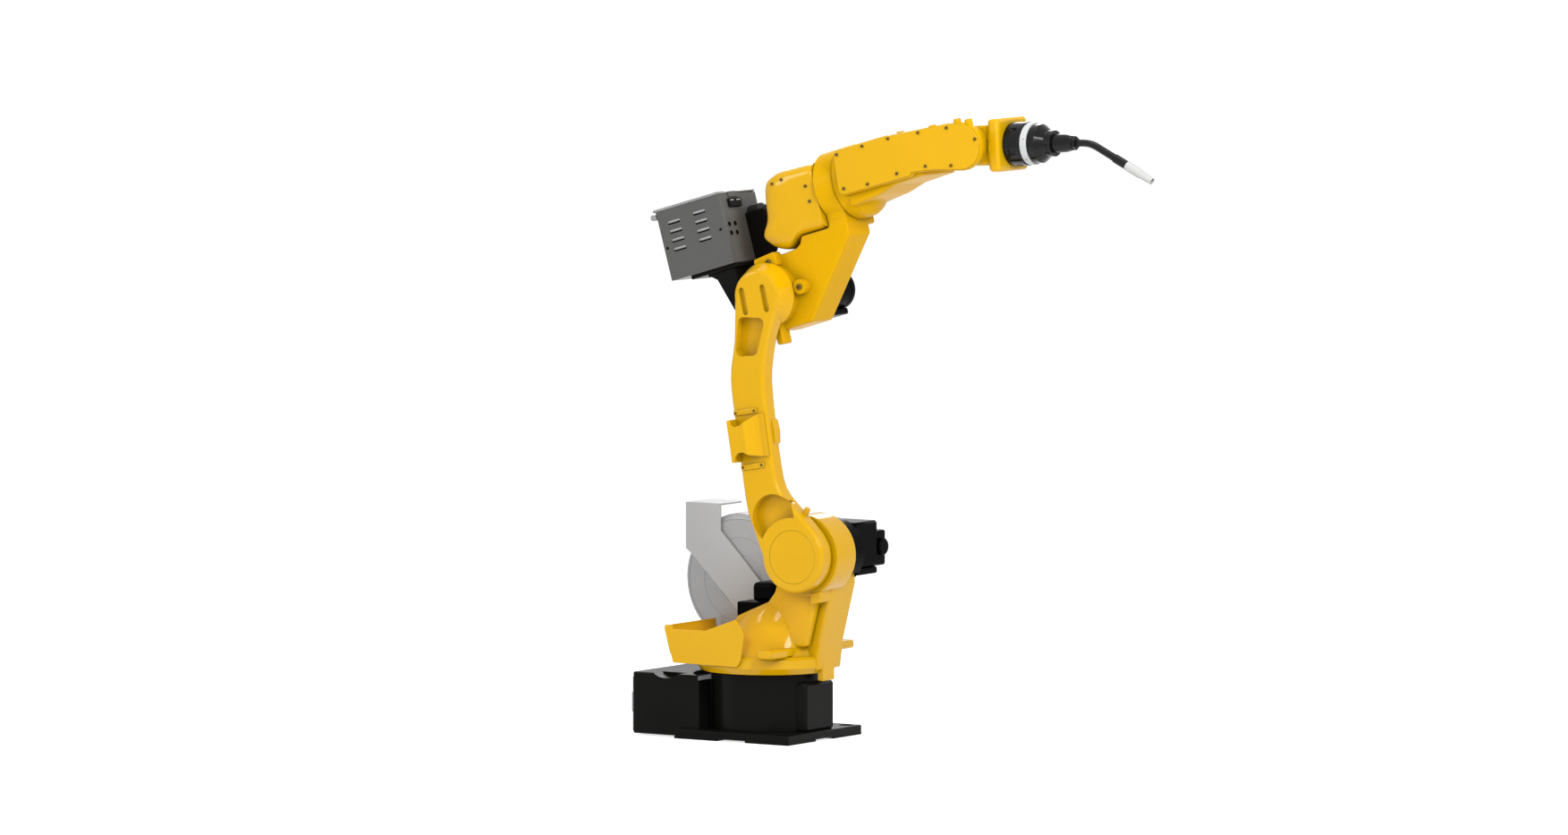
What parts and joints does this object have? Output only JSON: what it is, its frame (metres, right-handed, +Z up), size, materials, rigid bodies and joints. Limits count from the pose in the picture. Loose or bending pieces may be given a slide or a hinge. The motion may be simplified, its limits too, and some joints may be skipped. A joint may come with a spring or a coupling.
{
  "type": "welding robot arm",
  "caption": "Jointed arc welding robot arm with a wire feeder on its elbow, a covered wire spool on its waist and a bent torch.",
  "frame": {"origin": "on the waist's vertical axis, at the floor under the foot plate", "axes": "+Z up along the waist's axis, +X the way the arm and torch point, +Y across, towards the wire spool"},
  "size_m": [1.3449, 0.373, 1.4445],
  "materials": {
    "base_casting": "satin",
    "rear_panel": "satin",
    "power_connector": "satin",
    "signal_connector": "satin",
    "gas_fitting": "satin",
    "j1_reducer": "satin",
    "waist_casting": "gloss",
    "cable_tray": "gloss",
    "j1_motor": "satin",
    "j1_encoder_cap": "satin",
    "j2_motor": "satin",
    "j2_encoder_cap": "satin",
    "j2_connector_block": "satin",
    "spool_bracket": "satin",
    "spool_spindle": "satin",
    "spool_cover_near": "satin",
    "spool_cover_far": "satin",
    "spool_nut": "matte",
    "spool_reel": "matte",
    "wire_winding": "gloss",
    "lower_arm_casting": "gloss",
    "j2_cover_disc": "gloss",
    "j2_reducer": "satin",
    "j3_reducer": "satin",
    "cable_hood": "gloss",
    "strap_plate_upper": "gloss",
    "strap_plate_lower": "gloss",
    "elbow_casting": "gloss",
    "j4_motor_cover": "gloss",
    "j3_motor": "satin",
    "j3_connector_block": "satin",
    "feeder_bracket": "satin",
    "feeder_base_plate": "satin",
    "feeder_box": "satin",
    "feeder_side_cover": "satin",
    "feed_plate": "satin",
    "feed_motor": "satin",
    "wire_inlet": "satin",
    "gun_connector": "matte",
    "drive_roll": "satin",
    "pressure_arm": "satin",
    "pressure_roll": "satin",
    "feeder_lid": "satin",
    "forearm_casting": "gloss",
    "forearm_cover_near": "gloss",
    "forearm_cover_far": "gloss",
    "wrist_casting": "gloss",
    "tool_flange": "satin",
    "mount_ring": "satin",
    "torch_mount": "satin",
    "retaining_ring": "satin",
    "torch_body": "satin",
    "neck_nut": "satin",
    "torch_neck": "satin",
    "gas_diffuser": "satin",
    "gas_nozzle": "satin",
    "contact_tip": "gloss"
  },
  "bodies": {
    "base": {"base_casting": "base_casting", "rear_panel": "rear_panel", "power_connector": "power_connector", "signal_connector": "signal_connector", "gas_fitting": "gas_fitting", "j1_reducer": "j1_reducer"},
    "waist": {"waist_casting": "waist_casting", "cable_tray": "cable_tray", "j1_motor": "j1_motor", "j1_encoder_cap": "j1_encoder_cap", "j2_motor": "j2_motor", "j2_encoder_cap": "j2_encoder_cap", "j2_connector_block": "j2_connector_block", "spool_bracket": "spool_bracket", "spool_spindle": "spool_spindle", "spool_cover_near": "spool_cover_near", "spool_cover_far": "spool_cover_far", "spool_nut": "spool_nut"},
    "spool": {"spool_reel": "spool_reel", "wire_winding": "wire_winding"},
    "lower_arm": {"lower_arm_casting": "lower_arm_casting", "j2_cover_disc": "j2_cover_disc", "j2_reducer": "j2_reducer", "j3_reducer": "j3_reducer", "cable_hood": "cable_hood", "strap_plate_upper": "strap_plate_upper", "strap_plate_lower": "strap_plate_lower"},
    "elbow": {"elbow_casting": "elbow_casting", "j4_motor_cover": "j4_motor_cover", "j3_motor": "j3_motor", "j3_connector_block": "j3_connector_block", "feeder_bracket": "feeder_bracket", "feeder_base_plate": "feeder_base_plate", "feeder_box": "feeder_box", "feeder_side_cover": "feeder_side_cover", "feed_plate": "feed_plate", "feed_motor": "feed_motor", "wire_inlet": "wire_inlet", "gun_connector": "gun_connector"},
    "feed_roll": {"drive_roll": "drive_roll"},
    "swing_arm": {"pressure_arm": "pressure_arm"},
    "idle_roll": {"pressure_roll": "pressure_roll"},
    "lid": {"feeder_lid": "feeder_lid"},
    "forearm": {"forearm_casting": "forearm_casting", "forearm_cover_near": "forearm_cover_near", "forearm_cover_far": "forearm_cover_far"},
    "wrist": {"wrist_casting": "wrist_casting"},
    "torch": {"tool_flange": "tool_flange", "mount_ring": "mount_ring", "torch_mount": "torch_mount", "retaining_ring": "retaining_ring", "torch_body": "torch_body", "neck_nut": "neck_nut", "torch_neck": "torch_neck", "gas_diffuser": "gas_diffuser", "gas_nozzle": "gas_nozzle", "contact_tip": "contact_tip"}
  },
  "joints": [
    {"name": "j1_waist", "type": "hinge", "parent": "base", "child": "waist", "pos_m": [0, 0, 0.156], "axis": [0, 0, 1], "range_deg": [-165, 165]},
    {"name": "j2_lower_arm", "type": "hinge", "parent": "waist", "child": "lower_arm", "pos_m": [0.15, 0, 0.43], "axis": [0, 1, 0], "range_deg": [-80, 130]},
    {"name": "j3_elbow", "type": "hinge", "parent": "lower_arm", "child": "elbow", "pos_m": [0.052, 0, 1.02194], "axis": [0, -1, 0], "range_deg": [-75, 85]},
    {"name": "j4_forearm_roll", "type": "hinge", "parent": "elbow", "child": "forearm", "pos_m": [-0.00279, 0, 1.21429], "axis": [0.9617, 0, 0.274], "range_deg": [-170, 170]},
    {"name": "j5_wrist_bend", "type": "hinge", "parent": "forearm", "child": "wrist", "pos_m": [0.58003, 0, 1.38031], "axis": [0, -1, 0], "range_deg": [-120, 120]},
    {"name": "j6_torch_roll", "type": "hinge", "parent": "wrist", "child": "torch", "pos_m": [0.58003, 0, 1.38031], "axis": [0.999, 0, 0.0436], "range_deg": [-200, 200]},
    {"name": "spool_spin", "type": "hinge", "parent": "waist", "child": "spool", "pos_m": [-0.11, 0.1145, 0.352], "axis": [0, 1, 0], "continuous": true},
    {"name": "feed_roll_spin", "type": "hinge", "parent": "elbow", "child": "feed_roll", "pos_m": [-0.16135, 0.062, 1.15041], "axis": [0, 1, 0], "continuous": true},
    {"name": "pressure_arm_lift", "type": "hinge", "parent": "elbow", "child": "swing_arm", "pos_m": [-0.21353, 0.062, 1.17298], "axis": [0, -1, 0], "range_deg": [0, 24]},
    {"name": "pressure_roll_spin", "type": "hinge", "parent": "swing_arm", "child": "idle_roll", "pos_m": [-0.17121, 0.062, 1.18503], "axis": [0, 1, 0], "continuous": true},
    {"name": "feeder_lid_hinge", "type": "hinge", "parent": "elbow", "child": "lid", "pos_m": [-0.27389, 0, 1.18594], "axis": [0, -1, 0], "range_deg": [0, 90]}
  ],
  "couplings": [
    {"joint": "pressure_roll_spin", "follows": "feed_roll_spin", "ratio": -1}
  ]
}
